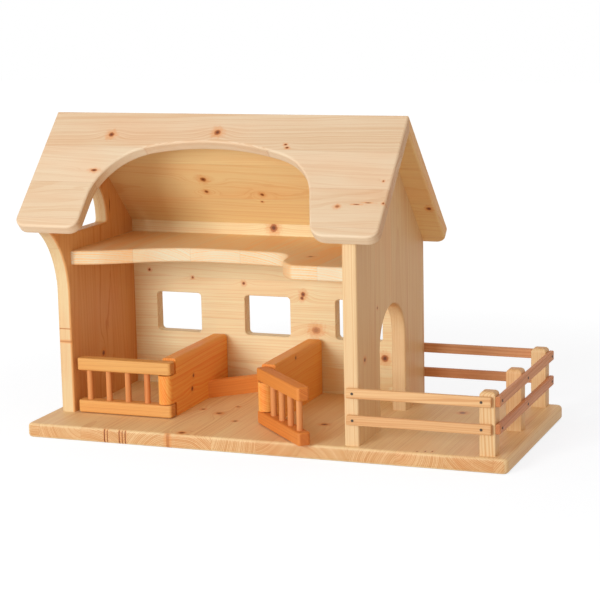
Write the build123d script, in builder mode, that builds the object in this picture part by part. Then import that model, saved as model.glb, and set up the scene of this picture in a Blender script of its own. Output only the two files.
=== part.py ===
from build123d import *
import os
from math import cos, radians, sin, sqrt, tan

os.makedirs("parts", exist_ok=True)

# A wooden toy barn on a base board: two gable walls, a back wall with three windows, a hay
# loft, a two-slope roof with an arched cut-out in front, three stalls with two hinged gates,
# and a fenced paddock.  Millimetres, +X along the base to the paddock end, +Y to the back,
# +Z up.  The origin is the centre of the base board's underside.

# --- boards and edges ---
board = 18.0              # base, walls, loft floor and stall partitions
roof_board = 16.0         # roof panels
edge_round = 2.5          # sanded edges of walls, loft floor and partitions
roof_edge_round = 3.0     # sanded edges of the roof panels

# --- base board ---
base_width = 614.0
base_depth = 276.0
base_corner = 7.0         # corners in plan
base_edge_round = 4.5     # top and bottom edges

# --- barn on the base ---
front_inset = 9.0         # base front edge to the right wall and the fence posts
back_inset = 5.0          # base back edge to the walls and the fence posts
left_inset = 14.0         # base left edge to the left gable wall
barn_width = 420.0        # over both gable walls
stall_count = 3

# --- left wall: set back at the bottom, curving forward under the eave ---
left_wall_setback = 59.0  # behind the right wall's front edge
flare_start = 151.0       # height of the curve's start above the floor
flare_radius = 105.0

# --- doorway in the right wall ---
door_width = 98.0
door_height = 145.0       # to the crown of its half-round head

# --- loft opening in the left wall ---
loft_opening_width = 80.0
loft_opening_sill = 22.0  # above the loft floor
loft_opening_side = 5.0   # straight sides
loft_opening_rise = 52.0  # elliptical head
loft_opening_corner = 4.0

# --- windows in the back wall ---
window_width = 64.0
window_height = 53.0
window_sill = 72.0        # above the floor
window_pitch = 127.0
window_corner = 5.0
window_edge_round = 1.2   # sanded edges of the windows

# --- roof ---
roof_pitch = 45.0         # degrees
ridge_height = 376.5      # outer ridge line above the floor
ridge_forward = 17.5      # ridge line in front of the base's centre line
front_slope_length = 180.0    # ridge to front eave, along the slope
rear_slope_length = 232.0     # ridge to rear eave, along the slope
roof_overhang_left = 16.0
roof_overhang_right = 30.0
roof_corner = 14.0        # lower corners of both panels
ridge_flat = 0.8          # ridge planed off below its sharp edge

# --- arched cut-out of the front roof panel, measured in the panel's plane ---
arch_top = 45.0           # below the ridge
arch_top_shift = -8.0     # highest point of the crown, from the room's centre line
arch_crown_radius = 320.0
arch_shoulder_radius = 80.0   # between the crown and each leg
arch_half_width = 141.0   # from the room's centre line to the left leg, which is upright
arch_right_inset = 8.5    # the right leg starts this much nearer on the crown's circle
arch_right_spread = 18.0  # and ends this much further out at the eave
arch_foot_left = 15.0     # rounding where a leg meets the eave
arch_foot_right = 22.0

# --- loft floor ---
loft_clear_height = 188.0     # floor to the loft floor's underside
loft_left_setback = 66.0      # front edge behind the front plane, at the left wall
loft_bay_setback = 123.0      # the same at the deepest point of the curved bay
loft_tongue_width = 97.0      # forward part beside the right wall
loft_tongue_setback = 29.0    # its front edge behind the front plane
loft_tongue_rounding = 40.0   # width of the tongue's rounded left corner

# --- stall partitions ---
partition_height = 73.0
partition_back_corner = 9.0

# --- gates ---
gate_rail = 16.0          # square section
gate_height = 70.0        # over both rails
gate_reach = 119.0        # hinge axis to the free end
gate_tail = 10.0          # hinge axis to the other end
gate_floor_gap = 1.0
gate_rail_round = 2.0     # long edges
gate_rail_end_round = 4.0     # upright edges of the rail ends
gate_setback = 58.0       # front face of a closed gate behind the front plane
gate_open_angle = 46.0    # how far the right gate stands open
spindle_count = 4
spindle_diameter = 7.5
spindle_start = 25.5      # hinge axis to the first spindle
spindle_pitch = 26.5
spindle_tenon = 7.0       # depth glued into each rail
spindle_chamfer = 0.5

# --- hinge between a partition and its gate ---
hinge_gap = 1.0           # between a rail and the partition's tongue, above and below
notch_clearance = 4.0     # behind the rails
hinge_pin_diameter = 5.0
hinge_pin_clearance = 0.05    # on the radius, in the rails
hinge_pin_seat = 12.0     # pressed into the tongue
hinge_pin_reach = 9.0     # into the rail
hinge_pin_seat_gap = 0.01     # on the radius, in the tongue
hinge_pin_chamfer = 0.4

# --- manger board across the middle stall's rear left corner ---
manger_leg = 68.0         # reach along each wall
manger_height = 22.0
manger_thickness = 12.0

# --- paddock fence ---
post_size = 19.0
post_height = 75.0
post_top_round = 5.0
post_edge_round = 1.5
post_right_inset = 16.5   # base right edge to the posts
fence_rail_height = 12.0
fence_rail_thickness = 6.0
fence_rail_round = 1.5
fence_rail_end_gap = 3.5  # front and back rails stop short of the post's outer face
lower_rail_height = 32.0  # rail centres above the floor
upper_rail_height = 64.0
wall_lap = 14.0           # how far front and back rails lap the right wall's edge
wall_nail_inset = 6.0     # nail in from the right wall's outer face
post_nail_inset = 4.0     # nail in from the corner post's barn side
nail_diameter = 1.6
nail_length = 16.0
nail_head_diameter = 3.2
nail_head_thickness = 0.5
nail_point = 2.5

# --- hidden joinery ---
screw_diameter = 4.0
screw_head_diameter = 8.0
screw_length = 42.0
screw_head_sink = 0.5     # heads below the base's underside
screw_head_angle = 90.0
screw_point = 6.0         # tapered tip
screw_slot_width = 0.9    # cross recess in the head
screw_slot_depth = 1.2
screw_slot_length = 4.6
dowel_diameter = 8.0
dowel_length = 30.0
dowel_blind = 10.0        # depth in the face of a wall or roof panel
dowel_chamfer = 0.8
loft_dowel_near = 25.0     # loft floor's dowels in front of its back edge
loft_dowel_far = 95.0
back_dowel_low = 35.0      # back wall's dowels above the floor
back_dowel_high = 165.0
blind_gap = 0.5           # left at the bottom of every blind hole
joint_clearance = 0.05    # radial, for dowels, screws, nails and spindles in their holes

# --- planes and lines that pieces share ---
floor_z = board
x_base_right = base_width / 2
x_left_wall = -base_width / 2 + left_inset
x_room_left = x_left_wall + board
x_right_wall = x_left_wall + barn_width
x_room_right = x_right_wall - board
room_width = x_room_right - x_room_left
x_room_middle = (x_room_left + x_room_right) / 2
y_front = -base_depth / 2 + front_inset
y_back = base_depth / 2 - back_inset
y_room_back = y_back - board
y_wall_middle = (y_front + y_back) / 2
y_left_wall_front = y_front + left_wall_setback
stall_width = (room_width - (stall_count - 1) * board) / stall_count
loft_z = floor_z + loft_clear_height
loft_top = loft_z + board

slope = radians(roof_pitch)
y_ridge = -ridge_forward
z_ridge = floor_z + ridge_height
z_ridge_under = z_ridge - roof_board / cos(slope)
x_roof_left = x_left_wall - roof_overhang_left
x_roof_right = x_right_wall + roof_overhang_right
roof_width = x_roof_right - x_roof_left

partition_x = [x_room_left + (i + 1) * stall_width + (i + 0.5) * board for i in range(stall_count - 1)]
y_gate_front = y_front + gate_setback
y_hinge = y_gate_front + gate_rail / 2
y_notch = y_gate_front + gate_rail + notch_clearance
gate_z = floor_z + gate_floor_gap
gate_top = gate_z + gate_height
tongue_bottom = gate_z + gate_rail + hinge_gap
tongue_top = gate_top - gate_rail - hinge_gap
partition_top = floor_z + partition_height

x_post = x_base_right - post_right_inset - post_size / 2
y_post_front = y_front + post_size / 2
y_post_back = y_back - post_size / 2
rail_centres = [floor_z + lower_rail_height, floor_z + upper_rail_height]
x_fence_start = x_right_wall - wall_lap
x_fence_end = x_post + post_size / 2 - fence_rail_end_gap

hole_radius = dowel_diameter / 2 + joint_clearance
screw_hole_radius = screw_diameter / 2 + joint_clearance
nail_hole_radius = nail_diameter / 2 + joint_clearance


def roof_underside(y):
    """Height of the roof's inner face over the line y."""
    return z_ridge_under - abs(y - y_ridge) * tan(slope)


def roof_plane(side, down_slope, x, depth=0.0):
    """Plane on a roof panel, its origin at a distance down the slope and below the outer face.
    side is -1 for the front panel and 1 for the rear one; z is the outward normal and y
    points up the slope."""
    down = Vector(0, side * cos(slope), -sin(slope))
    normal = Vector(0, side * sin(slope), cos(slope))
    start = Vector(x, y_ridge, z_ridge) + down * down_slope - normal * depth
    return Plane(origin=start, x_dir=(-side, 0, 0), z_dir=normal)


def facing_down(places, z):
    """Planes looking down at each (x, y) on a level face."""
    return [Plane((x, y, z), z_dir=(0, 0, -1)) for x, y in places]


def facing_sideways(x, direction, places):
    """Planes at each (y, z) on a face across X; direction is -1 or 1, its outward side."""
    return [Plane((x, y, z), z_dir=(direction, 0, 0)) for y, z in places]


def facing_front(y, direction, places):
    """Planes at each (x, z) on a face across Y; direction is -1 or 1, its outward side."""
    return [Plane((x, y, z), z_dir=(0, direction, 0)) for x, z in places]


def finish(builder, label):
    """Label a finished piece and write its file."""
    builder.part.label = label
    export_step(builder.part, f"parts/{label}.step")


# --- places of screws, dowels and nails ---
x_left_middle = x_left_wall + board / 2
x_right_middle = x_right_wall - board / 2
y_back_middle = y_back - board / 2

left_wall_length = y_back - y_left_wall_front
left_screws = [(x_left_middle, y_left_wall_front + share * left_wall_length) for share in (0.15, 0.8)]
door_margin = (y_back - y_front - door_width) / 4
right_screws = [(x_right_middle, y_front + door_margin), (x_right_middle, y_back - door_margin)]
back_screws = [(x_room_middle + i * room_width / 3, y_back_middle) for i in (-1, 0, 1)]
partition_screws = [
    [(x, y_hinge + share * (y_room_back - y_hinge)) for share in (0.25, 0.8)]
    for x in partition_x
]
post_y = [y_post_front, 0.0, y_post_back]
post_screws = [(x_post, y) for y in post_y]
base_screw_places = left_screws + right_screws + back_screws + sum(partition_screws, []) + post_screws
screw_hole_depth = screw_head_sink + screw_length - floor_z + blind_gap

loft_dowel_places = [
    (y_room_back - loft_dowel_near, loft_z + board / 2),
    (y_room_back - loft_dowel_far, loft_z + board / 2),
]
back_dowel_places = [(y_back_middle, floor_z + back_dowel_low), (y_back_middle, floor_z + back_dowel_high)]
roof_dowel_places = [(-1, 0.3 * front_slope_length), (-1, 0.6 * front_slope_length)]
roof_dowel_places += [(1, 0.5 * rear_slope_length), (1, 0.82 * rear_slope_length)]
dowel_hole_face = dowel_blind + blind_gap
dowel_hole_edge = dowel_length - dowel_blind + blind_gap

x_wall_nail = x_right_wall - wall_nail_inset
x_post_nail = x_post - post_size / 2 + post_nail_inset
wall_nails = [(x_wall_nail, z) for z in rail_centres]
corner_nails = [(x_post_nail, z) for z in rail_centres]
nail_hole_depth = nail_length + blind_gap - fence_rail_thickness

# --- base board: one wide board, rounded all round, screws sunk from below ---
screw_sink_radius = screw_head_diameter / 2 + joint_clearance
screw_sink_radius += screw_head_sink * tan(radians(screw_head_angle / 2))
with BuildPart() as base_board:
    with BuildSketch():
        RectangleRounded(base_width, base_depth, base_corner)
    extrude(amount=board)
    fillet(base_board.faces().filter_by(Axis.Z).edges(), radius=base_edge_round)
    with Locations(*facing_down(base_screw_places, 0)):
        CounterSinkHole(
            screw_hole_radius,
            screw_sink_radius,
            depth=board,
            counter_sink_angle=screw_head_angle,
        )
finish(base_board, "base_board")

# --- gable walls: boards standing on the base, their tops cut to the roof's slopes ---


def gable_outline():
    """Closed outline of a gable wall in the YZ plane, without its cut-outs."""
    return Polyline(
        (y_front, floor_z),
        (y_back, floor_z),
        (y_back, roof_underside(y_back)),
        (y_ridge, z_ridge_under),
        (y_front, roof_underside(y_front)),
        close=True,
    )


def sanded_edges(wall):
    """Outline edges of a gable wall that are sanded round: not those glued at floor and roof."""
    outline = wall.faces().filter_by(Axis.X).edges()
    upright = outline.filter_by(Axis.Z)
    sills = outline.filter_by(Axis.Y).filter_by(lambda edge: edge.center().Z > floor_z + board)
    curves = outline.filter_by(lambda edge: edge.geom_type != GeomType.LINE)
    return upright + sills + curves


def roof_dowel_planes(x_middle):
    """Planes on a gable wall's sloping edges where the roof dowels go in."""
    return [roof_plane(side, down_slope, x_middle, roof_board) for side, down_slope in roof_dowel_places]


with BuildPart() as right_gable_wall:
    with BuildSketch(Plane.YZ.offset(x_room_right)):
        with BuildLine():
            gable_outline()
        make_face()
        with Locations((y_wall_middle, floor_z)):
            Rectangle(
                door_width, door_height - door_width / 2,
                align=(Align.CENTER, Align.MIN), mode=Mode.SUBTRACT,
            )
        with Locations((y_wall_middle, floor_z + door_height - door_width / 2)):
            Circle(door_width / 2, mode=Mode.SUBTRACT)
    extrude(amount=board)
    fillet(sanded_edges(right_gable_wall), radius=edge_round)
    with Locations(*facing_down(right_screws, floor_z)):
        Hole(screw_hole_radius, screw_hole_depth)
    with Locations(*facing_sideways(x_room_right, -1, loft_dowel_places + back_dowel_places)):
        Hole(hole_radius, dowel_hole_face)
    with Locations(*roof_dowel_planes(x_right_middle)):
        Hole(hole_radius, dowel_hole_edge)
    with Locations(*facing_front(y_front, -1, wall_nails), *facing_front(y_back, 1, wall_nails)):
        Hole(nail_hole_radius, nail_hole_depth)
finish(right_gable_wall, "right_gable_wall")

with BuildPart() as left_gable_wall:
    with BuildSketch(Plane.YZ.offset(x_left_wall)):
        with BuildLine():
            gable_outline()
        make_face()
        with Locations((y_left_wall_front, floor_z)):
            Rectangle(
                left_wall_setback, flare_start,
                align=(Align.MAX, Align.MIN), mode=Mode.SUBTRACT,
            )
        with Locations((y_left_wall_front - flare_radius, floor_z + flare_start)):
            Circle(flare_radius, mode=Mode.SUBTRACT)
    extrude(amount=board)
    with BuildSketch(Plane.YZ.offset(x_left_wall)) as loft_opening:
        with Locations((y_wall_middle, loft_top + loft_opening_sill + loft_opening_side)):
            Ellipse(loft_opening_width / 2, loft_opening_rise)
            Rectangle(
                loft_opening_width, loft_opening_rise,
                align=(Align.CENTER, Align.MAX), mode=Mode.SUBTRACT,
            )
            Rectangle(
                loft_opening_width, loft_opening_side,
                align=(Align.CENTER, Align.MAX),
            )
        fillet(loft_opening.vertices().group_by(Axis.Y)[0], radius=loft_opening_corner)
    extrude(amount=board, mode=Mode.SUBTRACT)
    fillet(sanded_edges(left_gable_wall), radius=edge_round)
    with Locations(*facing_down(left_screws, floor_z)):
        Hole(screw_hole_radius, screw_hole_depth)
    with Locations(*facing_sideways(x_room_left, 1, loft_dowel_places + back_dowel_places)):
        Hole(hole_radius, dowel_hole_face)
    with Locations(*roof_dowel_planes(x_left_middle)):
        Hole(hole_radius, dowel_hole_edge)
finish(left_gable_wall, "left_gable_wall")

# --- back wall: between the gable walls, its top bevelled to the rear slope ---
with BuildPart() as back_wall:
    with BuildSketch(Plane.YZ.offset(x_room_left)):
        with BuildLine():
            Polyline(
                (y_room_back, floor_z),
                (y_back, floor_z),
                (y_back, roof_underside(y_back)),
                (y_room_back, roof_underside(y_room_back)),
                close=True,
            )
        make_face()
    extrude(amount=room_width)
    with BuildSketch(Plane.XZ.offset(-y_back)):
        with Locations((x_room_middle, floor_z + window_sill + window_height / 2)):
            with GridLocations(window_pitch, 0, stall_count, 1):
                RectangleRounded(window_width, window_height, window_corner)
    extrude(amount=board, mode=Mode.SUBTRACT)
    window_edges = (
        back_wall.faces().filter_by(Axis.Y).edges()
        .filter_by_position(Axis.X, x_room_left + board, x_room_right - board)
        .filter_by_position(Axis.Z, floor_z + window_sill, floor_z + window_sill + window_height)
    )
    fillet(window_edges, radius=window_edge_round)
    with Locations(*facing_down(back_screws, floor_z)):
        Hole(screw_hole_radius, screw_hole_depth)
    with Locations(
        *facing_sideways(x_room_left, -1, back_dowel_places),
        *facing_sideways(x_room_right, 1, back_dowel_places),
    ):
        Hole(hole_radius, dowel_hole_edge)
finish(back_wall, "back_wall")

# --- loft floor: its front edge sweeps back in a bay and forward in a rounded tongue ---
y_loft_left = y_front + loft_left_setback
y_bay = y_front + loft_bay_setback
y_tongue = y_front + loft_tongue_setback
x_tongue = x_room_right - loft_tongue_width
bay_width = x_tongue - x_room_left
bay_depth = y_bay - y_loft_left
tongue_depth = y_bay - y_tongue

# points of the bay's edge as shares of its width and depth, from the left wall
bay_shares = [(0.0, 0.0), (0.115, 0.18), (0.27, 0.61), (0.43, 0.94)]
bay_shares += [(0.575, 1.0), (0.815, 0.92), (0.937, 0.76)]
# points round the tongue's left corner as shares of its rounding and depth
tongue_shares = [(-0.1, 0.38), (0.05, 0.7), (0.45, 0.94), (1.0, 1.0)]
loft_edge = [
    (x_room_left + across * bay_width, y_loft_left + deep * bay_depth)
    for across, deep in bay_shares
]
loft_edge += [
    (x_tongue + across * loft_tongue_rounding, y_bay - forward * tongue_depth)
    for across, forward in tongue_shares
]

with BuildPart() as loft_floor:
    with BuildSketch(Plane.XY.offset(loft_z)):
        with BuildLine():
            front_curve = Spline(*loft_edge, tangents=[(1, 0.3), (1, 0)])
            Polyline(
                front_curve @ 1,
                (x_room_right, y_tongue),
                (x_room_right, y_room_back),
                (x_room_left, y_room_back),
                front_curve @ 0,
            )
        make_face()
    extrude(amount=board)
    front_edges = loft_floor.faces().filter_by(Axis.Z).edges().filter_by(
        lambda edge: edge.geom_type != GeomType.LINE or abs(edge.center().Y - y_tongue) < 0.01
    )
    fillet(front_edges, radius=edge_round)
    with Locations(
        *facing_sideways(x_room_left, -1, loft_dowel_places),
        *facing_sideways(x_room_right, 1, loft_dowel_places),
    ):
        Hole(hole_radius, dowel_hole_edge)
finish(loft_floor, "loft_floor")

# --- roof: two panels mitred together under the ridge ---
arch_right_start = arch_half_width - arch_right_inset
arch_right_end = arch_half_width + arch_right_spread


def crown_at(across):
    """Point of the arch's crown, on its circle, at a distance from the room's centre line."""
    rise = sqrt(arch_crown_radius**2 - (across - arch_top_shift) ** 2)
    return (across, rise - arch_crown_radius - arch_top)


def sand_panel(panel, side):
    """Round a roof panel's outline on both faces, leaving the mitred ridge sharp."""
    normal = Axis((0, 0, 0), roof_plane(side, 0, 0).z_dir)
    outline = panel.faces().filter_by(normal).edges()
    away_from_ridge = outline.filter_by(lambda edge: abs(edge.center().Y - y_ridge) > roof_board)
    fillet(away_from_ridge, radius=roof_edge_round)


def edges_at_eave(panel, side):
    """Edges through the board's thickness at the eave, from left to right."""
    normal = Axis((0, 0, 0), roof_plane(side, 0, 0).z_dir)
    return panel.edges().filter_by(normal).group_by(Axis.Z)[0].sort_by(Axis.X)


def roof_dowel_holes(side):
    """Planes on a panel's inner face where the dowels of both gable walls come in."""
    return [
        -roof_plane(place_side, down_slope, x, roof_board)
        for x in (x_left_middle, x_right_middle)
        for place_side, down_slope in roof_dowel_places
        if place_side == side
    ]


with BuildPart() as front_roof_panel:
    with BuildSketch(roof_plane(-1, 0, (x_roof_left + x_roof_right) / 2)):
        Rectangle(roof_width, front_slope_length, align=(Align.CENTER, Align.MAX))
    extrude(amount=-roof_board)
    with BuildSketch(roof_plane(-1, 0, x_room_middle)) as arch:
        with BuildLine():
            ThreePointArc(
                crown_at(-arch_half_width), crown_at(arch_top_shift), crown_at(arch_right_start)
            )
            Polyline(
                crown_at(arch_right_start),
                (arch_right_end, -front_slope_length),
                (-arch_half_width, -front_slope_length),
                crown_at(-arch_half_width),
            )
        make_face()
        fillet(arch.vertices().sort_by(Axis.Y)[-2:], radius=arch_shoulder_radius)
    extrude(amount=-roof_board, mode=Mode.SUBTRACT)
    split(bisect_by=Plane.XZ.offset(-y_ridge), keep=Keep.TOP)
    split(bisect_by=Plane.XY.offset(z_ridge - ridge_flat), keep=Keep.BOTTOM)
    fillet(edges_at_eave(front_roof_panel, -1)[1], radius=arch_foot_left)
    fillet(edges_at_eave(front_roof_panel, -1)[-2], radius=arch_foot_right)
    eave_edges = edges_at_eave(front_roof_panel, -1)
    fillet([eave_edges[0], eave_edges[-1]], radius=roof_corner)
    sand_panel(front_roof_panel, -1)
    with Locations(*roof_dowel_holes(-1)):
        Hole(hole_radius, dowel_hole_face)
finish(front_roof_panel, "front_roof_panel")

with BuildPart() as rear_roof_panel:
    with BuildSketch(roof_plane(1, 0, (x_roof_left + x_roof_right) / 2)):
        Rectangle(roof_width, rear_slope_length, align=(Align.CENTER, Align.MAX))
    extrude(amount=-roof_board)
    split(bisect_by=Plane.XZ.offset(-y_ridge), keep=Keep.BOTTOM)
    split(bisect_by=Plane.XY.offset(z_ridge - ridge_flat), keep=Keep.BOTTOM)
    fillet(edges_at_eave(rear_roof_panel, 1), radius=roof_corner)
    sand_panel(rear_roof_panel, 1)
    with Locations(*roof_dowel_holes(1)):
        Hole(hole_radius, dowel_hole_face)
finish(rear_roof_panel, "rear_roof_panel")

# --- stall partitions: boards against the back wall, each with a round-nosed hinge tongue ---
tongue_length = y_notch - y_hinge
hinge_pin_radius = hinge_pin_diameter / 2

for label, x, screws in zip(("left_partition", "right_partition"), partition_x, partition_screws):
    with BuildPart() as partition:
        with BuildSketch(Plane.YZ.offset(x - board / 2)):
            with BuildLine():
                Polyline(
                    (y_notch, floor_z),
                    (y_room_back, floor_z),
                    (y_room_back, partition_top),
                    (y_notch, partition_top),
                    close=True,
                )
            make_face()
        extrude(amount=board)
        back_edges = partition.edges().filter_by(Axis.X).group_by(Axis.Y)[-1]
        fillet(back_edges.sort_by(Axis.Z)[-1], radius=partition_back_corner)
        top_edges = partition.faces().filter_by(Axis.X).edges().filter_by_position(
            Axis.Z, partition_top - partition_back_corner, partition_top
        )
        fillet(top_edges, radius=edge_round)
        with BuildSketch(Plane.XY.offset(tongue_bottom)):
            with Locations((x, y_hinge)):
                Circle(board / 2)
                Rectangle(board, tongue_length, align=(Align.CENTER, Align.MIN))
        extrude(amount=tongue_top - tongue_bottom)
        with Locations(
            Plane((x, y_hinge, tongue_top)),
            Plane((x, y_hinge, tongue_bottom), z_dir=(0, 0, -1)),
        ):
            Hole(hinge_pin_radius + hinge_pin_seat_gap, hinge_pin_seat + blind_gap)
        with Locations(*facing_down(screws, floor_z)):
            Hole(screw_hole_radius, screw_hole_depth)
    finish(partition, label)

# --- manger board: set across the middle stall's rear left corner, its ends mitred ---
x_manger = partition_x[0] + board / 2
manger_run = manger_thickness * sqrt(2)
with BuildPart() as manger_board:
    with BuildSketch(Plane.XY.offset(floor_z)):
        with BuildLine():
            Polyline(
                (x_manger, y_room_back - manger_leg),
                (x_manger + manger_leg, y_room_back),
                (x_manger + manger_leg - manger_run, y_room_back),
                (x_manger, y_room_back - manger_leg + manger_run),
                close=True,
            )
        make_face()
    extrude(amount=manger_height)
    sloping = manger_board.faces().sort_by(Axis.Z)[-1].edges().filter_by(Axis((0, 0, 0), (1, 1, 0)))
    fillet(sloping, radius=edge_round)
finish(manger_board, "manger_board")

# --- fence posts: square, domed on top, screwed from below and nailed to the rails ---
post_rail_nails = [
    ("front_corner_post", y_post_front, facing_front(y_front, -1, corner_nails)),
    ("side_middle_post", 0.0, []),
    ("back_corner_post", y_post_back, facing_front(y_back, 1, corner_nails)),
]
for label, y, end_nails in post_rail_nails:
    with BuildPart() as post:
        with BuildSketch(Plane((x_post, y, floor_z))):
            Rectangle(post_size, post_size)
        extrude(amount=post_height)
        fillet(post.edges().filter_by(Axis.Z), radius=post_edge_round)
        fillet(post.faces().sort_by(Axis.Z)[-1].edges(), radius=post_top_round)
        with Locations(*facing_down([(x_post, y)], floor_z)):
            Hole(screw_hole_radius, screw_hole_depth)
        side_nails = facing_sideways(x_post + post_size / 2, 1, [(y, z) for z in rail_centres])
        with Locations(*side_nails, *end_nails):
            Hole(nail_hole_radius, nail_hole_depth)
    finish(post, label)

# --- fence rails: flat strips nailed outside the posts and over the right wall's edges ---
x_fence_side = x_post + post_size / 2
nail_planes = []
for level, z in zip(("lower", "upper"), rail_centres):
    for place, direction, y_face in (("front", -1, y_front), ("back", 1, y_back)):
        y_outer = y_face + direction * fence_rail_thickness
        rail_nails = facing_front(y_outer, direction, [(x_wall_nail, z), (x_post_nail, z)])
        nail_planes += rail_nails
        with BuildPart() as fence_rail:
            with BuildSketch(Plane.YZ.offset(x_fence_start)):
                with Locations(((y_face + y_outer) / 2, z)):
                    Rectangle(fence_rail_thickness, fence_rail_height)
            extrude(amount=x_fence_end - x_fence_start)
            fillet(fence_rail.edges(), radius=fence_rail_round)
            with Locations(*rail_nails):
                Hole(nail_hole_radius, fence_rail_thickness)
        finish(fence_rail, f"fence_{place}_{level}_rail")

    side_rail_nails = facing_sideways(x_fence_side + fence_rail_thickness, 1, [(y, z) for y in post_y])
    nail_planes += side_rail_nails
    with BuildPart() as fence_side_rail:
        with BuildSketch(Plane.XZ.offset(-y_front)):
            with Locations((x_fence_side + fence_rail_thickness / 2, z)):
                Rectangle(fence_rail_thickness, fence_rail_height)
        extrude(amount=y_front - y_back)
        fillet(fence_side_rail.edges(), radius=fence_rail_round)
        with Locations(*side_rail_nails):
            Hole(nail_hole_radius, fence_rail_thickness)
    finish(fence_side_rail, f"fence_side_{level}_rail")

# --- fasteners: each set is one group of separate solids ---
below_plane = (Align.CENTER, Align.CENTER, Align.MAX)
above_plane = (Align.CENTER, Align.CENTER, Align.MIN)

with BuildPart() as fence_nails:
    with Locations(*nail_planes):
        Cylinder(nail_head_diameter / 2, nail_head_thickness, align=above_plane)
        Cylinder(nail_diameter / 2, nail_length - nail_point, align=below_plane)
    with Locations(*[plane.offset(nail_point - nail_length) for plane in nail_planes]):
        Cone(0, nail_diameter / 2, nail_point, align=below_plane)
finish(fence_nails, "fence_nails")

screw_radius = screw_diameter / 2
screw_head_radius = screw_head_diameter / 2
screw_head_height = (screw_head_radius - screw_radius) / tan(radians(screw_head_angle / 2))
screw_planes = facing_down(base_screw_places, screw_head_sink)
with BuildPart() as base_screws:
    with Locations(*screw_planes):
        Cone(screw_radius, screw_head_radius, screw_head_height, align=below_plane)
        Cylinder(screw_radius, screw_length - screw_point, align=below_plane)
    with Locations(*[plane.offset(screw_point - screw_length) for plane in screw_planes]):
        Cone(0, screw_radius, screw_point, align=below_plane)
    with Locations(*screw_planes):
        Box(screw_slot_length, screw_slot_width, screw_slot_depth, align=below_plane, mode=Mode.SUBTRACT)
        Box(screw_slot_width, screw_slot_length, screw_slot_depth, align=below_plane, mode=Mode.SUBTRACT)
finish(base_screws, "base_screws")

loft_dowel_planes = facing_sideways(x_room_left, 1, loft_dowel_places)
loft_dowel_planes += facing_sideways(x_room_right, -1, loft_dowel_places)
back_dowel_planes = facing_sideways(x_room_left, 1, back_dowel_places)
back_dowel_planes += facing_sideways(x_room_right, -1, back_dowel_places)
for label, planes in (
    ("loft_dowels", loft_dowel_planes),
    ("back_wall_dowels", back_dowel_planes),
    ("roof_dowels", roof_dowel_holes(-1) + roof_dowel_holes(1)),
):
    with BuildPart() as dowels:
        with Locations(*[plane.offset(-dowel_blind) for plane in planes]):
            Cylinder(dowel_diameter / 2, dowel_length, align=above_plane)
        chamfer(dowels.edges().filter_by(GeomType.CIRCLE), length=dowel_chamfer)
    finish(dowels, label)

# --- gates: two rails joined by round spindles, turning on short steel pins in the tongue ---
spindle_places = [(spindle_start + spindle_pitch * i, 0) for i in range(spindle_count)]
gate_frames = {
    "left": Plane((partition_x[0], y_hinge, gate_z), x_dir=(-1, 0, 0)),
    "right": Plane(
        (partition_x[1], y_hinge, gate_z),
        x_dir=(cos(radians(gate_open_angle)), -sin(radians(gate_open_angle)), 0),
    ),
}

for side, frame in gate_frames.items():
    top_rail_plane = frame.offset(gate_height - gate_rail)
    for level, underside, spindle_face in (
        ("bottom", frame, frame.offset(gate_rail)),
        ("top", top_rail_plane, -top_rail_plane),
    ):
        with BuildPart() as gate_rail_piece:
            with BuildSketch(underside):
                with Locations(((gate_reach - gate_tail) / 2, 0)):
                    Rectangle(gate_reach + gate_tail, gate_rail)
            extrude(amount=gate_rail)
            fillet(gate_rail_piece.edges().filter_by(Axis.Z), radius=gate_rail_end_round)
            fillet(gate_rail_piece.faces().filter_by(Axis.Z).edges(), radius=gate_rail_round)
            with Locations(spindle_face):
                Hole(hinge_pin_radius + hinge_pin_clearance, hinge_pin_reach + blind_gap)
                with Locations(*spindle_places):
                    Hole(spindle_diameter / 2 + joint_clearance, spindle_tenon + blind_gap)
        finish(gate_rail_piece, f"{side}_gate_{level}_rail")

    with BuildPart() as gate_spindles:
        with Locations(frame.offset(gate_rail - spindle_tenon)):
            with Locations(*spindle_places):
                Cylinder(
                    spindle_diameter / 2, gate_height - 2 * gate_rail + 2 * spindle_tenon,
                    align=above_plane,
                )
        chamfer(gate_spindles.edges().filter_by(GeomType.CIRCLE), length=spindle_chamfer)
    finish(gate_spindles, f"{side}_gate_spindles")

    tongue_top_plane = frame.offset(tongue_top - gate_z)
    tongue_bottom_plane = -frame.offset(tongue_bottom - gate_z)
    with BuildPart() as hinge_pins:
        with Locations(
            tongue_top_plane.offset(-hinge_pin_seat),
            tongue_bottom_plane.offset(-hinge_pin_seat),
        ):
            Cylinder(hinge_pin_radius, hinge_pin_seat + hinge_gap + hinge_pin_reach, align=above_plane)
        chamfer(hinge_pins.edges().filter_by(GeomType.CIRCLE), length=hinge_pin_chamfer)
    finish(hinge_pins, f"{side}_gate_hinge_pins")
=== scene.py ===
import math

import bpy
from mathutils import Matrix, Vector


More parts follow.
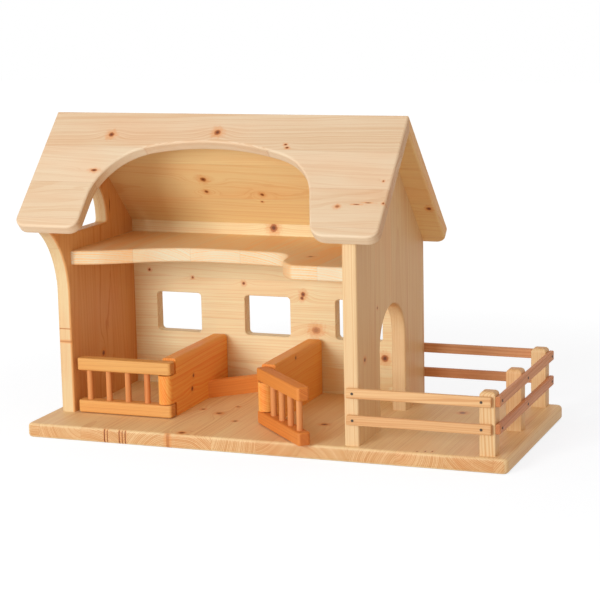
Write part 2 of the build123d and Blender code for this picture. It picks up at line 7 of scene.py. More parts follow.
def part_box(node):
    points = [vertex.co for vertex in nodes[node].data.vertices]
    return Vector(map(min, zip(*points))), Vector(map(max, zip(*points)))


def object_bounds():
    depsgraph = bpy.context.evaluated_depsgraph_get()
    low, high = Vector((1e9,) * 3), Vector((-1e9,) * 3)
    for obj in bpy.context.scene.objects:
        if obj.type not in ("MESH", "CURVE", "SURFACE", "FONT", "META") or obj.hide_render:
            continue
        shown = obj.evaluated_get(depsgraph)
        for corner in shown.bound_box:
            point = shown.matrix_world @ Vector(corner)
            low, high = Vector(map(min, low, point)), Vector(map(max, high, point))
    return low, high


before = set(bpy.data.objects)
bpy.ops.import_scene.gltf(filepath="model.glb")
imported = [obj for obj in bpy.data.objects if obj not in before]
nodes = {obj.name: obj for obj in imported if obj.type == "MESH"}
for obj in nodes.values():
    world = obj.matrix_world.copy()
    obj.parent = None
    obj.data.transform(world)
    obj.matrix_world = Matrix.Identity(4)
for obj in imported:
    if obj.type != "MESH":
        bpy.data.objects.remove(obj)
cad_low, cad_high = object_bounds()


# ---- Base board ----------------------------------------------------------------------------------
# One wide board, glued up from spruce strips that run from front to back, so its long front edge
# shows the end grain of every strip. Its corners and edges are rounded and it is oiled.

def screen(red, green, blue):
    """A colour in screen values from 0 to 255, as the linear values that a colour socket takes."""
    def linear(value):
        value /= 255
        return value / 12.92 if value <= 0.04045 else ((value + 0.055) / 1.055) ** 2.4
    return (linear(red), linear(green), linear(blue), 1.0)


def feed(tree, value, socket):
    """Links a socket to another node's output, or gives it a plain value."""
    if isinstance(value, bpy.types.NodeSocket):
        tree.links.new(value, socket)
    else:
        socket.default_value = value


def calc(tree, operation, *values):
    """The result of a Math node."""
    node = tree.nodes.new("ShaderNodeMath")
    node.operation = operation
    for value, socket in zip(values, node.inputs):
        feed(tree, value, socket)
    return node.outputs["Value"]


def ramp(tree, base, value, slope):
    """base plus value times slope."""
    return calc(tree, "ADD", base, calc(tree, "MULTIPLY", value, slope))


def spread(tree, value, width):
    """Moves a value from 0 to 1 so that it lies evenly about zero over a width."""
    return calc(tree, "MULTIPLY", calc(tree, "SUBTRACT", value, 0.5), width)


def hypotenuse(tree, first, second):
    """How far a point lies from a line, from its distances in two directions at right angles."""
    squares = [calc(tree, "POWER", side, 2.0) for side in (first, second)]
    return calc(tree, "SQRT", calc(tree, "ADD", *squares))


def vector_calc(tree, operation, *values):
    """The vector that a Vector Math node gives, or its number for a dot product or a length."""
    node = tree.nodes.new("ShaderNodeVectorMath")
    node.operation = operation
    for value, socket in zip(values, node.inputs):
        feed(tree, value, socket)
    return node.outputs["Value" if operation in ("DOT_PRODUCT", "LENGTH") else "Vector"]


def smooth_step(tree, value, start, end, to_start=0.0, to_end=1.0):
    """Runs smoothly from to_start to to_end while value goes from start to end."""
    node = tree.nodes.new("ShaderNodeMapRange")
    node.interpolation_type = "SMOOTHSTEP"
    names = ("Value", "From Min", "From Max", "To Min", "To Max")
    for name, number in zip(names, (value, start, end, to_start, to_end)):
        feed(tree, number, node.inputs[name])
    return node.outputs["Result"]


def noise(tree, position, scales, detail=2.0):
    """Noise from 0 to 1 with its own number of grains per metre on each axis."""
    node = tree.nodes.new("ShaderNodeTexNoise")
    feed(tree, vector_calc(tree, "MULTIPLY", position, scales), node.inputs["Vector"])
    node.inputs["Scale"].default_value = 1.0
    node.inputs["Detail"].default_value = detail
    return node.outputs["Fac"]


def blend_colors(tree, amount, first, second):
    """first where amount is 0, second where it is 1."""
    node = tree.nodes.new("ShaderNodeMix")
    node.data_type = "RGBA"
    feed(tree, amount, node.inputs["Factor"])
    feed(tree, first, node.inputs["A"])
    feed(tree, second, node.inputs["B"])
    return node.outputs["Result"]


def new_group(name, inputs, outputs):
    """An empty shader node group, the sockets that bring its inputs, and those that take its outputs."""
    group = bpy.data.node_groups.new(name, "ShaderNodeTree")
    kinds = {1: "NodeSocketFloat", 3: "NodeSocketVector", 4: "NodeSocketColor"}
    for socket_name, default in inputs.items():
        kind = kinds[len(default) if isinstance(default, tuple) else 1]
        socket = group.interface.new_socket(socket_name, in_out="INPUT", socket_type=kind)
        socket.default_value = default
    for socket_name, kind in outputs.items():
        group.interface.new_socket(socket_name, in_out="OUTPUT", socket_type="NodeSocket" + kind)
    return group, group.nodes.new("NodeGroupInput").outputs, group.nodes.new("NodeGroupOutput").inputs


# A point of the board, told as a joiner sees it: X across the grain, Y through the thickness and
# Z along the grain.
grain_axes, given, result = new_group(
    "grain axes",
    {"Position": (0.0, 0.0, 0.0), "Along": (0.0, 0.0, 1.0), "Across": (1.0, 0.0, 0.0)},
    {"Grain Position": "Vector"},
)
combine = grain_axes.nodes.new("ShaderNodeCombineXYZ")
through = vector_calc(grain_axes, "CROSS_PRODUCT", given["Along"], given["Across"])
for socket, direction in zip(combine.inputs, (given["Across"], through, given["Along"])):
    feed(grain_axes, vector_calc(grain_axes, "DOT_PRODUCT", given["Position"], direction), socket)
feed(grain_axes, combine.outputs["Vector"], result["Grain Position"])

# A knot, which goes straight through the board. It is a reddish disc with a dark heart, a warm halo
# around it, and the year rings swing round it. Knots are chained: each adds itself to those before.
knot, given, result = new_group(
    "knot",
    {
        "Grain Position": (0.0, 0.0, 0.0), "Across": 0.0, "Along": 0.0, "Radius": 0.004,
        "Stretch": 1.0, "Darkness": 1.0, "Lift": 0.0, "Disc": 0.0, "Heart": 0.0, "Halo": 0.0,
    },
    {"Lift": "Float", "Disc": "Float", "Heart": "Float", "Halo": "Float"},
)
split = knot.nodes.new("ShaderNodeSeparateXYZ")
feed(knot, given["Grain Position"], split.inputs["Vector"])
aside = calc(knot, "SUBTRACT", split.outputs["X"], given["Across"])
aside = calc(knot, "DIVIDE", aside, given["Radius"])
ahead = calc(knot, "SUBTRACT", split.outputs["Z"], given["Along"])
ahead = calc(knot, "DIVIDE", ahead, given["Radius"])
ahead = calc(knot, "DIVIDE", ahead, given["Stretch"])
ragged = noise(knot, given["Grain Position"], (300.0, 60.0, 300.0))
raggedness = ramp(knot, 0.7, ragged, 0.6)
reach = calc(knot, "MULTIPLY", hypotenuse(knot, aside, ahead), raggedness)
slender = calc(
    knot, "ADD",
    calc(knot, "POWER", calc(knot, "MULTIPLY", aside, 0.45), 2.0),
    calc(knot, "POWER", calc(knot, "MULTIPLY", ahead, 0.20), 2.0),
)
lift = calc(knot, "EXPONENT", calc(knot, "MULTIPLY", slender, -1.0))
lift = calc(knot, "MULTIPLY", lift, calc(knot, "MULTIPLY", given["Radius"], 0.6))
feed(knot, calc(knot, "ADD", given["Lift"], lift), result["Lift"])
disc = smooth_step(knot, reach, 0.75, 1.1, 1.0, 0.0)
disc = calc(knot, "MULTIPLY", disc, ramp(knot, 0.4, given["Darkness"], 0.75))
heart = calc(knot, "MULTIPLY", smooth_step(knot, reach, 0.25, 0.75, 1.0, 0.0), given["Darkness"])
halo = smooth_step(knot, calc(knot, "MULTIPLY", reach, raggedness), 0.7, 2.8, 1.0, 0.0)
for name, value in (("Disc", disc), ("Heart", heart), ("Halo", halo)):
    feed(knot, calc(knot, "MAXIMUM", given[name], value), result[name])

# Oiled softwood. The board is glued from strips, each cut from another place in its log: year rings
# round a pith of its own, so that faces show long lines and ends show arcs.
timber, given, result = new_group(
    "oiled timber",
    {
        "Grain Position": (0.0, 0.0, 0.0), "Seed": 0.0,
        "Strip Edge": 0.0, "Strip Width": 0.05, "Year Width": 0.0020, "Pith Offset": 0.0,
        "Tone": 0.15, "Ring Strength": 0.5, "Blush": 0.6,
        "Pale Wood": screen(243, 214, 165), "Ring Wood": screen(214, 160, 100),
        "Knot Wood": screen(176, 96, 38), "Heart Wood": screen(226, 150, 90), "Heart From": 10.0,
        "End Grain": 0.0, "End Rings": 0.55, "End Tone": 0.30,
        "Lift": 0.0, "Disc": 0.0, "Heart": 0.0, "Halo": 0.0,
    },
    {"Color": "Color", "Height": "Float", "Roughness": "Float"},
)
split = timber.nodes.new("ShaderNodeSeparateXYZ")
feed(timber, given["Grain Position"], split.inputs["Vector"])
across, depth, along = split.outputs

# Each strip has its own number, and from it three chances and a place of its own in the log.
strips = calc(timber, "SUBTRACT", across, given["Strip Edge"])
strips = calc(timber, "DIVIDE", strips, given["Strip Width"])
strip = calc(timber, "FLOOR", strips)
place_in_strip = calc(timber, "SUBTRACT", calc(timber, "SUBTRACT", strips, strip), 0.5)
strip_number = timber.nodes.new("ShaderNodeCombineXYZ")
feed(timber, strip, strip_number.inputs["X"])
feed(timber, given["Seed"], strip_number.inputs["Y"])
chance = timber.nodes.new("ShaderNodeTexWhiteNoise")
feed(timber, strip_number.outputs["Vector"], chance.inputs["Vector"])
chances = timber.nodes.new("ShaderNodeSeparateColor")
feed(timber, chance.outputs["Color"], chances.inputs["Color"])
first_chance, second_chance, third_chance = chances.outputs
log_shift = vector_calc(timber, "MULTIPLY", strip_number.outputs["Vector"], (1.7, 3.1, 0.0))
log_place = vector_calc(timber, "ADD", given["Grain Position"], log_shift)

# The pith lies under or over the strip, and the rings round it wander, taper and ripple.
pith_sideways = 0.15
pith_nearest = 0.014
pith_range = 0.05
ring_wander = 0.014
log_taper = 0.008
ring_ripple = 0.0012
pith_across = spread(timber, first_chance, pith_sideways)
pith_side = calc(timber, "SIGN", calc(timber, "SUBTRACT", third_chance, 0.5))
pith_depth = ramp(timber, pith_nearest, second_chance, pith_range)
pith_depth = calc(timber, "MULTIPLY", pith_depth, pith_side)
wander = spread(timber, noise(timber, log_place, (9.0, 9.0, 3.5)), ring_wander)
pith_across = calc(timber, "ADD", pith_across, given["Pith Offset"])
from_pith_across = calc(timber, "MULTIPLY", place_in_strip, given["Strip Width"])
from_pith_across = calc(timber, "ADD", from_pith_across, wander)
from_pith_across = calc(timber, "SUBTRACT", from_pith_across, pith_across)
from_pith_depth = calc(timber, "SUBTRACT", depth, pith_depth)
ring_radius = hypotenuse(timber, from_pith_across, from_pith_depth)
ring_radius = ramp(timber, ring_radius, along, log_taper)
ring_radius = calc(timber, "ADD", ring_radius, given["Lift"])
ring_radius = ramp(timber, ring_radius, noise(timber, log_place, (70.0, 70.0, 12.0)), ring_ripple)

# Good years are wide and poor ones narrow. Each is pale at first and darkens to its late wood.
years = calc(timber, "DIVIDE", ring_radius, given["Year Width"])
weather = timber.nodes.new("ShaderNodeTexNoise")
weather.noise_dimensions = "1D"
feed(timber, calc(timber, "MULTIPLY", years, 0.45), weather.inputs["W"])
years = ramp(timber, years, weather.outputs["Fac"], 1.6)
season = calc(timber, "FRACT", years)
late_wood = smooth_step(timber, season, 0.35, 0.92)
late_wood = calc(timber, "MULTIPLY", late_wood, smooth_step(timber, season, 0.93, 1.0, 1.0, 0.0))

# Streaks, fibres and clouds vary the wood between the rings, and each strip has its own tone.
streaks = noise(timber, log_place, (420.0, 420.0, 7.0), 3.0)
fibres = noise(timber, log_place, (1500.0, 1500.0, 40.0))
clouds = noise(timber, log_place, (14.0, 14.0, 4.0))
strength = calc(timber, "MULTIPLY", given["Ring Strength"], ramp(timber, 0.6, third_chance, 0.7))
strength = ramp(timber, strength, given["End Grain"], given["End Rings"])
amount = calc(timber, "MULTIPLY", late_wood, strength)
for part, share in ((streaks, 0.45), (fibres, 0.25), (clouds, 0.45), (second_chance, 0.20)):
    amount = calc(timber, "ADD", amount, spread(timber, part, share))
amount = ramp(timber, amount, given["End Grain"], given["End Tone"])
amount = calc(timber, "ADD", amount, given["Tone"])
color = blend_colors(timber, amount, given["Pale Wood"], given["Ring Wood"])

# Past a given depth the wood is tinted redder and darker, painted shade for a face that lies in shade;
# some places blush, and the knots and glue lines lie over all.
painted_shade_fade = 0.0015
painted_shade_ends = calc(timber, "ADD", given["Heart From"], painted_shade_fade)
painted_shade = smooth_step(timber, depth, given["Heart From"], painted_shade_ends)
shaded_color = vector_calc(timber, "MULTIPLY", color, given["Heart Wood"])
color = blend_colors(timber, painted_shade, color, shaded_color)
blush = smooth_step(timber, noise(timber, log_place, (17.0, 17.0, 6.0)), 0.45, 0.7)
blush = calc(timber, "MULTIPLY", blush, given["Blush"])
color = blend_colors(timber, blush, color, vector_calc(timber, "MULTIPLY", color, (1.0, 0.86, 0.78)))
halo = calc(timber, "MULTIPLY", given["Halo"], 0.55)
color = blend_colors(timber, halo, color, screen(228, 150, 78))
disc = calc(timber, "MULTIPLY", given["Disc"], 0.85)
color = blend_colors(timber, disc, color, given["Knot Wood"])
color = blend_colors(timber, given["Heart"], color, screen(88, 36, 12))
from_glue = calc(timber, "SUBTRACT", 0.5, calc(timber, "ABSOLUTE", place_in_strip))
from_glue = calc(timber, "MULTIPLY", from_glue, given["Strip Width"])
glue_line = smooth_step(timber, from_glue, 0.0001, 0.0006, 1.0, 0.0)
glue_tint = calc(timber, "MULTIPLY", glue_line, 0.15)
feed(timber, blend_colors(timber, glue_tint, color, given["Knot Wood"]), result["Color"])
height = calc(timber, "MULTIPLY", fibres, 0.5)
height = calc(timber, "SUBTRACT", height, calc(timber, "MULTIPLY", late_wood, 0.25))
feed(timber, calc(timber, "SUBTRACT", height, glue_line), result["Height"])
roughness = ramp(timber, 0.44, streaks, 0.16)
roughness = calc(timber, "SUBTRACT", roughness, calc(timber, "MULTIPLY", given["Disc"], 0.12))
feed(timber, roughness, result["Roughness"])

ALONG_X = Vector((1, 0, 0))
ALONG_Y = Vector((0, 1, 0))
ALONG_Z = Vector((0, 0, 1))


def place_group(tree, group, **values):
    """Places a node group and feeds the inputs that are given, written with _ for a space."""
    node = tree.nodes.new("ShaderNodeGroup")
    node.node_tree = group
    for name, value in values.items():
        feed(tree, value, node.inputs[name.replace("_", " ")])
    return node


def oiled_wood(name, along, across, seed, knots=(), **look):
    """The material of one piece. A knot is (place, radius), or with a stretch and a darkness too.

    along and across are the grain's directions, and look sets other inputs of the timber."""
    material = bpy.data.materials.new(name)
    material.use_nodes = True
    tree = material.node_tree
    shader = tree.nodes["Principled BSDF"]
    coordinates = tree.nodes.new("ShaderNodeTexCoord").outputs
    axes = place_group(tree, grain_axes, Position=coordinates["Object"], Along=along, Across=across)
    position = axes.outputs["Grain Position"]
    facing_end = vector_calc(tree, "DOT_PRODUCT", coordinates["Normal"], along)
    look["End_Grain"] = smooth_step(tree, calc(tree, "ABSOLUTE", facing_end), 0.80, 0.99)
    chain = {}
    for place, radius, *rest in knots:
        place = Vector(place)
        stretch, darkness = rest or (1.0, 0.8)
        added = place_group(
            tree, knot, Grain_Position=position, Across=place.dot(across), Along=place.dot(along),
            Radius=radius, Stretch=stretch, Darkness=darkness, **chain,
        )
        chain = {name: added.outputs[name] for name in ("Lift", "Disc", "Heart", "Halo")}
    wood = place_group(tree, timber, Grain_Position=position, Seed=seed, **look, **chain)
    feed(tree, wood.outputs["Color"], shader.inputs["Base Color"])
    feed(tree, wood.outputs["Roughness"], shader.inputs["Roughness"])
    bump = tree.nodes.new("ShaderNodeBump")
    bump.inputs["Strength"].default_value = 0.35
    bump.inputs["Distance"].default_value = 0.0004
    feed(tree, wood.outputs["Height"], bump.inputs["Height"])
    feed(tree, bump.outputs["Normal"], shader.inputs["Normal"])
    shader.inputs["Specular IOR Level"].default_value = 0.35
    return material


def dress(node_name, material):
    """Gives a piece of the barn its finish."""
    for slot in nodes[node_name].material_slots:
        slot.material = material


dress("base_board", oiled_wood(
    "base board spruce", ALONG_Y, ALONG_X, 3.0, Strip_Width=0.058,
    Ring_Strength=0.26, End_Rings=0.8, End_Tone=0.38,
    Pale_Wood=screen(248, 224, 176), Ring_Wood=screen(208, 152, 96),
    knots=[
        ((-0.123, -0.011, 0.018), 0.0030), ((-0.095, -0.025, 0.018), 0.0042),
        ((-0.085, 0.013, 0.018), 0.0025), ((-0.060, -0.057, 0.018), 0.0030),
        ((0.052, -0.042, 0.018), 0.0045), ((-0.100, -0.128, 0.018), 0.0045),
        ((0.198, 0.060, 0.018), 0.0045), ((0.198, -0.131, 0.018), 0.0012),
        ((0.207, -0.128, 0.018), 0.0008, 3.0, 0.9), ((0.215, -0.126, 0.018), 0.0008, 3.0, 0.9),
        ((-0.1997, -0.138, 0.018), 0.0009, 3.0, 1.0), ((-0.1957, -0.138, 0.018), 0.0006, 3.0, 1.0),
        ((-0.1796, -0.138, 0.018), 0.0008, 3.0, 1.0), ((-0.1755, -0.138, 0.018), 0.0006, 3.0, 1.0),
        ((-0.1715, -0.138, 0.018), 0.0008, 3.0, 1.0), ((-0.1146, -0.138, 0.018), 0.0026, 1.0, 0.15),
    ],
))


# ---- Gable walls ---------------------------------------------------------------------------------
# Two walls of upright strips. The left one is cut away below with a sweep that runs forward to the
# eave and has a rounded opening to the loft, the right one has the arched doorway.

# Near its inner face the left gable's wood is tinted redder and darker: painted shade for the face that
# turns away from the lamp.
dress("left_gable_wall", oiled_wood(
    "left gable spruce", ALONG_Z, -ALONG_Y, 11.0, Strip_Width=0.045, Ring_Strength=0.50,
    Pale_Wood=screen(234, 212, 168), Ring_Wood=screen(212, 160, 102),
    Heart_From=-0.2780, Heart_Wood=screen(255, 218, 184),
    knots=[
        ((-0.275, 0.016, 0.077), 0.0040), ((-0.275, 0.050, 0.267), 0.0010, 12.0, 0.9),
        ((-0.275, -0.070, 0.1090), 0.0012, 1.0, 0.1), ((-0.275, -0.070, 0.1255), 0.0005, 1.0, 0.5),
    ],
))
dress("right_gable_wall", oiled_wood(
    "right gable spruce", ALONG_Z, ALONG_Y, 23.0, Strip_Width=0.062, Ring_Strength=0.45,
    Pale_Wood=screen(240, 216, 172), Ring_Wood=screen(214, 166, 112),
    knots=[((0.127, -0.104, 0.116), 0.0030), ((0.127, -0.056, 0.169), 0.0016)],
))


# ---- Back wall -----------------------------------------------------------------------------------
# A board of lying strips between the gables, with three windows that have rounded corners.

dress("back_wall", oiled_wood(
    "back wall spruce", ALONG_X, ALONG_Z, 31.0, Strip_Width=0.055, Ring_Strength=0.36,
    Pale_Wood=screen(250, 239, 198), Ring_Wood=screen(232, 188, 120),
    knots=[
        ((-0.071, 0.115, 0.234), 0.0055), ((-0.1155, 0.115, 0.159), 0.0022),
        ((-0.0323, 0.115, 0.148), 0.0034), ((-0.0338, 0.115, 0.1428), 0.0026),
        ((-0.015, 0.115, 0.101), 0.0050, 1.3, 0.3), ((0.079, 0.115, 0.069), 0.0050),
        ((-0.189, 0.115, 0.164), 0.0016), ((-0.252, 0.115, 0.172), 0.0018),
    ],
))


# ---- Loft floor ----------------------------------------------------------------------------------
# A board with its grain from front to back. Its front is sawn to a soft double curve with a tongue
# on the right, and the end grain of its strips shows there.

# Its top is tinted orange and its end faces are kept pale: painted shade on the top and a painted
# highlight on the front edge, which faces the lamp.
dress("loft_floor", oiled_wood(
    "loft floor spruce", ALONG_Y, ALONG_X, 42.0, Strip_Width=0.068, Ring_Strength=0.16, Tone=0.42,
    Year_Width=0.0030, End_Rings=0.55, End_Tone=-0.42,
    Pale_Wood=screen(232, 226, 200), Ring_Wood=screen(248, 188, 110),
    knots=[((0.036, -0.035, 0.224), 0.0035)],
))


# ---- Roof panels ---------------------------------------------------------------------------------
# Two boards with strips along the ridge, mitred and glued to each other there. The front one has a
# wide arch sawn out of it over the loft, and all its edges are rounded over.

UP_FRONT_SLOPE = Vector((0, 1, 1)).normalized()
UP_REAR_SLOPE = Vector((0, -1, 1)).normalized()

dress("front_roof_panel", oiled_wood(
    "front roof spruce", ALONG_X, UP_FRONT_SLOPE, 55.0,
    Strip_Width=0.0555, Strip_Edge=0.1554, Ring_Strength=0.30,
    Pale_Wood=screen(236, 220, 194), Ring_Wood=screen(214, 174, 130),
    knots=[
        ((-0.2215, -0.0431, 0.3689), 0.0040), ((-0.2271, -0.0829, 0.3291), 0.0022, 2.0, 0.9),
        ((-0.0802, -0.0389, 0.3731), 0.0045), ((0.0130, -0.0510, 0.3610), 0.0014, 1.5, 1.0),
        ((0.0161, -0.0543, 0.3577), 0.0015, 1.5, 1.0), ((0.0998, -0.1145, 0.2975), 0.0022, 1.3, 0.4),
        ((0.1542, -0.1101, 0.3019), 0.0014), ((0.1472, -0.0874, 0.3246), 0.0012),
        ((0.1225, -0.1120, 0.3000), 0.0006, 7.0, 1.0), ((0.1360, -0.1100, 0.3020), 0.0006, 7.0, 1.0),
    ],
))
dress("rear_roof_panel", oiled_wood(
    "rear roof spruce", ALONG_X, UP_REAR_SLOPE, 63.0, Strip_Width=0.070, Ring_Strength=0.22,
    Pale_Wood=screen(250, 224, 168), Ring_Wood=screen(228, 174, 108),
    knots=[
        ((-0.1408, 0.0507, 0.3036), 0.0045), ((-0.1447, 0.0686, 0.2857), 0.0030),
        ((-0.0682, 0.0709, 0.2835), 0.0030), ((-0.0727, 0.0815, 0.2729), 0.0016),
        ((0.1490, 0.0849, 0.2695), 0.0034),
    ],
))


# ---- Stall partitions and manger board -----------------------------------------------------------
# Thick boards of a redder wood with their grain from front to back. Each has a round tongue at its
# front end, on which its gate hangs. The low manger board stands across a corner of the stall.

for node_name, seed, partition_knots in (
    ("left_partition", 71.0, [((-0.142, 0.002, 0.058), 0.0026), ((-0.142, -0.003, 0.042), 0.0036)]),
    ("right_partition", 78.0, [((-0.008, 0.0185, 0.0850), 0.0022)]),
):
    dress(node_name, oiled_wood(
        node_name.replace("_", " ") + " wood", ALONG_Y, ALONG_Z, seed, Strip_Width=0.2,
        Year_Width=0.0026, Pith_Offset=0.12, Ring_Strength=0.45, knots=partition_knots,
        Pale_Wood=screen(254, 198, 108), Ring_Wood=screen(242, 142, 57),
    ))

manger_low, manger_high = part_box("manger_board")
manger_run = Vector((manger_high.x - manger_low.x, manger_high.y - manger_low.y, 0)).normalized()
dress("manger_board", oiled_wood(
    "manger wood", manger_run, ALONG_Z, 84.0, Strip_Width=0.2, Ring_Strength=0.45,
    Pale_Wood=screen(252, 176, 96), Ring_Wood=screen(228, 132, 64),
))


# ---- Fence posts and rails -----------------------------------------------------------------------
# Square posts stand on the base board, and flat rails are nailed to their outer faces.

for seed, node_name in enumerate(("front_corner_post", "side_middle_post", "back_corner_post"), 91):
    dress(node_name, oiled_wood(
        node_name.replace("_", " ") + " spruce", ALONG_Z, ALONG_X, seed, Strip_Width=0.3,
        Year_Width=0.0022, Ring_Strength=0.50,
        Pale_Wood=screen(240, 214, 168), Ring_Wood=screen(216, 166, 110),
    ))

# The side rails get darker, redder wood than the front rails, and the back rails lie between: painted
# shade for the rails that face away from the lamp.
for seed, (node_name, along, pale, rings) in enumerate((
    ("fence_front_lower_rail", ALONG_X, screen(236, 194, 142), screen(208, 148, 94)),
    ("fence_front_upper_rail", ALONG_X, screen(238, 198, 146), screen(210, 152, 98)),
    ("fence_side_lower_rail", ALONG_Y, screen(222, 160, 110), screen(190, 118, 72)),
    ("fence_side_upper_rail", ALONG_Y, screen(224, 164, 112), screen(192, 120, 74)),
    ("fence_back_lower_rail", ALONG_X, screen(222, 170, 126), screen(190, 126, 84)),
    ("fence_back_upper_rail", ALONG_X, screen(224, 174, 130), screen(192, 128, 86)),
), 101):
    dress(node_name, oiled_wood(
        node_name.replace("_", " ") + " wood", along, ALONG_Z, seed, Strip_Width=0.3,
        Year_Width=0.0022, Ring_Strength=0.50, Pale_Wood=pale, Ring_Wood=rings,
    ))


# ---- Gates ---------------------------------------------------------------------------------------
# Each gate is two square rails joined by four turned spindles, and swings on two steel pins.

right_gate_open = math.radians(-46)
right_gate_run = Matrix.Rotation(right_gate_open, 3, "Z") @ ALONG_X
# The right gate's rails get darker, redder wood than the left gate's, though both gates are alike:
# painted shade for the open right gate.
for seed, (side, along, pale, rings) in enumerate((
    ("left", ALONG_X, screen(234, 182, 108), screen(206, 138, 72)),
    ("right", right_gate_run, screen(228, 146, 68), screen(198, 106, 44)),
), 121):
    for offset, part in enumerate(("top_rail", "bottom_rail"), 1):
        node_name = f"{side}_gate_{part}"
        dress(node_name, oiled_wood(
            node_name.replace("_", " ") + " wood", along, ALONG_Z, seed * 10.0 + offset,
            Strip_Width=0.3, Year_Width=0.0020, Ring_Strength=0.45, Pale_Wood=pale, Ring_Wood=rings,
        ))
    dress(f"{side}_gate_spindles", oiled_wood(
        f"{side} gate spindle wood", ALONG_Z, ALONG_X, seed * 10.0 + 5.0,
        Strip_Width=0.3, Year_Width=0.0016, Ring_Strength=0.45,
        Pale_Wood=screen(230, 160, 98), Ring_Wood=screen(200, 122, 68),
    ))


# ---- Dowels --------------------------------------------------------------------------------------
# Beech dowels join the loft floor, the back wall and the roof panels to the gables. They are glued
# in and sanded flush.

for seed, (node_name, along, across) in enumerate((
    ("loft_dowels", ALONG_X, ALONG_Y),
    ("back_wall_dowels", ALONG_X, ALONG_Z),
    ("roof_dowels", ALONG_Z, ALONG_X),
), 141):
    dress(node_name, oiled_wood(
        node_name.replace("_", " ") + " beech", along, across, seed,
        Strip_Width=0.3, Year_Width=0.0016, Ring_Strength=0.35,
        Pale_Wood=screen(232, 190, 140), Ring_Wood=screen(204, 150, 98),
    ))


# ---- Nails, screws and hinge pins ----------------------------------------------------------------
# Slightly tarnished steel: round-headed nails in the rails, countersunk screws up through the base
# board, and the smooth pins on which the gates swing.

steel = bpy.data.materials.new("steel")
steel.use_nodes = True
shader = steel.node_tree.nodes["Principled BSDF"]
shader.inputs["Metallic"].default_value = 1.0
position = steel.node_tree.nodes.new("ShaderNodeTexCoord").outputs["Object"]
tarnish = noise(steel.node_tree, position, (700.0, 700.0, 700.0), 4.0)
metal_color = blend_colors(steel.node_tree, tarnish, screen(58, 50, 44), screen(98, 86, 76))
feed(steel.node_tree, metal_color, shader.inputs["Base Color"])
roughness = smooth_step(steel.node_tree, tarnish, 0.3, 0.7, 0.40, 0.60)
feed(steel.node_tree, roughness, shader.inputs["Roughness"])
for node_name in ("fence_nails", "base_screws", "left_gate_hinge_pins", "right_gate_hinge_pins"):
    dress(node_name, steel)


# ---- Floor and light -----------------------------------------------------------------------------
# A plain pale floor, a wide soft lamp in front of the barn on the left, and a soft even room light.
# What sees the floor or the room directly sees them white, and the floor keeps the barn's shadow. Near
# the barn the floor glows less, a painted soft shade round it.

floor_mesh = bpy.data.meshes.new("floor")
floor_reach = 6.0
floor_height = cad_low.z - 0.0002
floor_corners = [
    (x * floor_reach, y * floor_reach, floor_height)
    for x, y in ((-1, -1), (1, -1), (1, 1), (-1, 1))
]
floor_mesh.from_pydata(floor_corners, [], [(0, 1, 2, 3)])
floor = bpy.data.objects.new("floor", floor_mesh)
bpy.context.scene.collection.objects.link(floor)
floor_material = bpy.data.materials.new("pale floor")
floor_material.use_nodes = True
tree = floor_material.node_tree
tree.nodes.clear()
matt = tree.nodes.new("ShaderNodeBsdfDiffuse")
glow = tree.nodes.new("ShaderNodeEmission")
rays = tree.nodes.new("ShaderNodeLightPath").outputs
seen = calc(tree, "MAXIMUM", rays["Is Camera Ray"], rays["Is Glossy Ray"])
floor_color = blend_colors(tree, seen, (0.80, 0.80, 0.80, 1.0), (0.42, 0.42, 0.42, 1.0))
feed(tree, floor_color, matt.inputs["Color"])
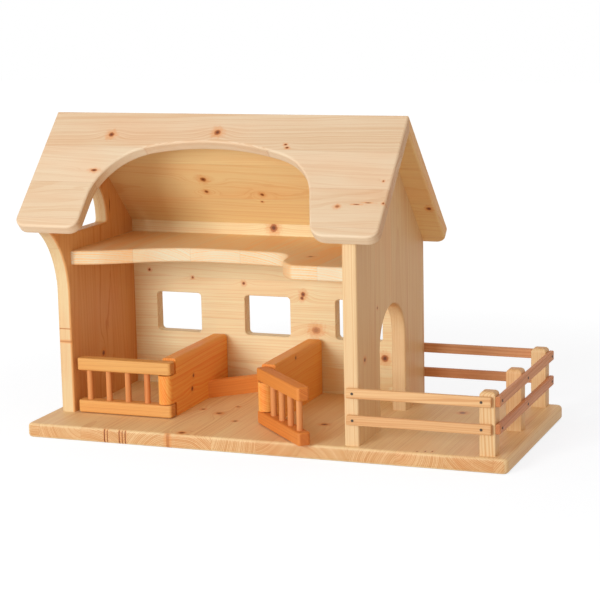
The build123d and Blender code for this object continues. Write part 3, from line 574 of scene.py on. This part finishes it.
# The glow is weaker within 0.45 m of the barn and fades up to full by 1.1 m: painted shade round the
# barn, so that its real shadow shows there.
shaded_glow_near_barn = (0.70, 0.755, 0.80, 1.0)
far_glow = (0.80, 0.86, 0.90, 1.0)
distance = vector_calc(tree, "LENGTH", tree.nodes.new("ShaderNodeTexCoord").outputs["Object"])
far = smooth_step(tree, distance, 0.45, 1.10)
feed(tree, blend_colors(tree, far, shaded_glow_near_barn, far_glow), glow.inputs["Color"])
feed(tree, seen, glow.inputs["Strength"])
both = tree.nodes.new("ShaderNodeAddShader")
tree.links.new(matt.outputs["BSDF"], both.inputs[0])
tree.links.new(glow.outputs["Emission"], both.inputs[1])
surface = tree.nodes.new("ShaderNodeOutputMaterial")
tree.links.new(both.outputs["Shader"], surface.inputs["Surface"])
floor_mesh.materials.append(floor_material)

world = bpy.data.worlds.new("room")
world.use_nodes = True
bpy.context.scene.world = world
tree = world.node_tree
room = tree.nodes["Background"]
rays = tree.nodes.new("ShaderNodeLightPath").outputs
seen = calc(tree, "MAXIMUM", rays["Is Glossy Ray"], rays["Is Transmission Ray"])
seen = calc(tree, "MAXIMUM", rays["Is Camera Ray"], seen)
room_color = (1.0, 0.76, 0.59, 1.0)
room_strength = 0.57
feed(tree, blend_colors(tree, seen, room_color, (1.0, 1.0, 1.0, 1.0)), room.inputs["Color"])
feed(tree, ramp(tree, room_strength, seen, 1.0 - room_strength), room.inputs["Strength"])


lamp_data = bpy.data.lights.new("front lamp", "AREA")
lamp_data.size = 0.8
lamp_data.energy = 36.0
lamp_data.color = (0.95, 1.0, 1.0)
lamp = bpy.data.objects.new("front lamp", lamp_data)
lamp_place = Vector((-0.65, -2.4, 0.70))
lamp_aim = Vector((-0.05, 0.0, 0.2))
lamp.location = lamp_place
lamp.rotation_euler = (lamp_aim - lamp_place).to_track_quat("-Z", "Y").to_euler()
bpy.context.scene.collection.objects.link(lamp)


# ---- Camera --------------------------------------------------------------------------------------
# It stands in front of the barn, a little to the right and above the roof, and is tilted slightly.

camera_data = bpy.data.cameras.new("camera")
camera_data.sensor_width = 36.0
camera_data.lens = 112.59
camera = bpy.data.objects.new("camera", camera_data)
turn_left, look_down, roll = math.radians(21.01), math.radians(10.46), math.radians(-1.232)
camera.matrix_world = (
    Matrix.Translation((0.8261, -2.1314, 0.5846))
    @ Matrix.Rotation(turn_left, 4, "Z")
    @ Matrix.Rotation(math.radians(90) - look_down, 4, "X")
    @ Matrix.Rotation(roll, 4, "Z")
)
bpy.context.scene.collection.objects.link(camera)
bpy.context.scene.camera = camera
bpy.context.scene.view_settings.view_transform = "Standard"
